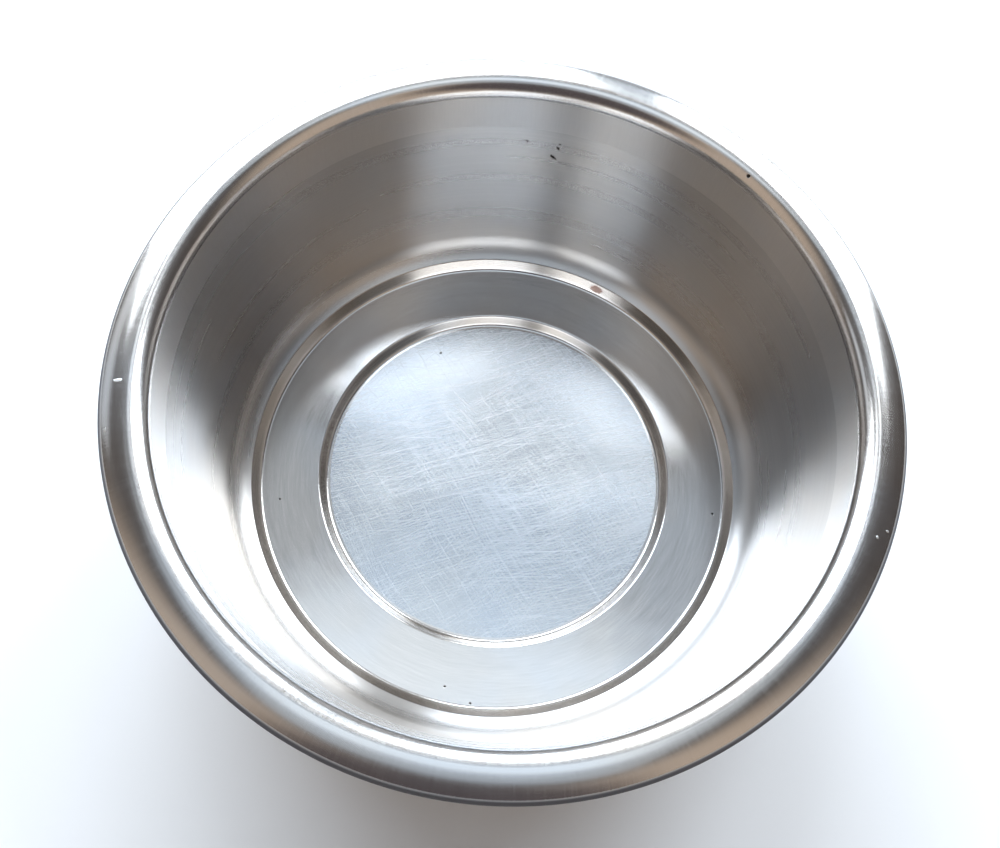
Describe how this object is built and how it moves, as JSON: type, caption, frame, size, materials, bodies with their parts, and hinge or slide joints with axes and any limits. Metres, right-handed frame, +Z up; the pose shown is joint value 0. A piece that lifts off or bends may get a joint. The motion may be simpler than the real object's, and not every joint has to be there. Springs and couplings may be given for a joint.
{
  "type": "mixing bowl",
  "caption": "Deep round stainless steel mixing bowl with a curled rim, an upright collar, a steep wall and a stepped base with a sunken centre disc.",
  "frame": {"origin": "middle of the underside of the centre disc, on the surface that the bowl stands on", "axes": "+Z up along the bowl's axis, out of its mouth; X and Y are free, because the bowl is round"},
  "size_m": [0.3599, 0.36, 0.14],
  "materials": {
    "scratched_steel": "satin stainless steel with fine crossing scratches from use",
    "spun_steel": "satin stainless steel brushed in circles about the axis",
    "wall_steel": "half-bright stainless steel with faint brushing around the bowl",
    "rim_steel": "bright stainless steel with short brushing marks across the curl and small nicks"
  },
  "bodies": {
    "root": {"centre_disc": "scratched_steel", "base_ring": "spun_steel", "side_wall": "wall_steel", "upper_collar": "wall_steel", "rolled_rim": "rim_steel"}
  },
  "joints": []
}
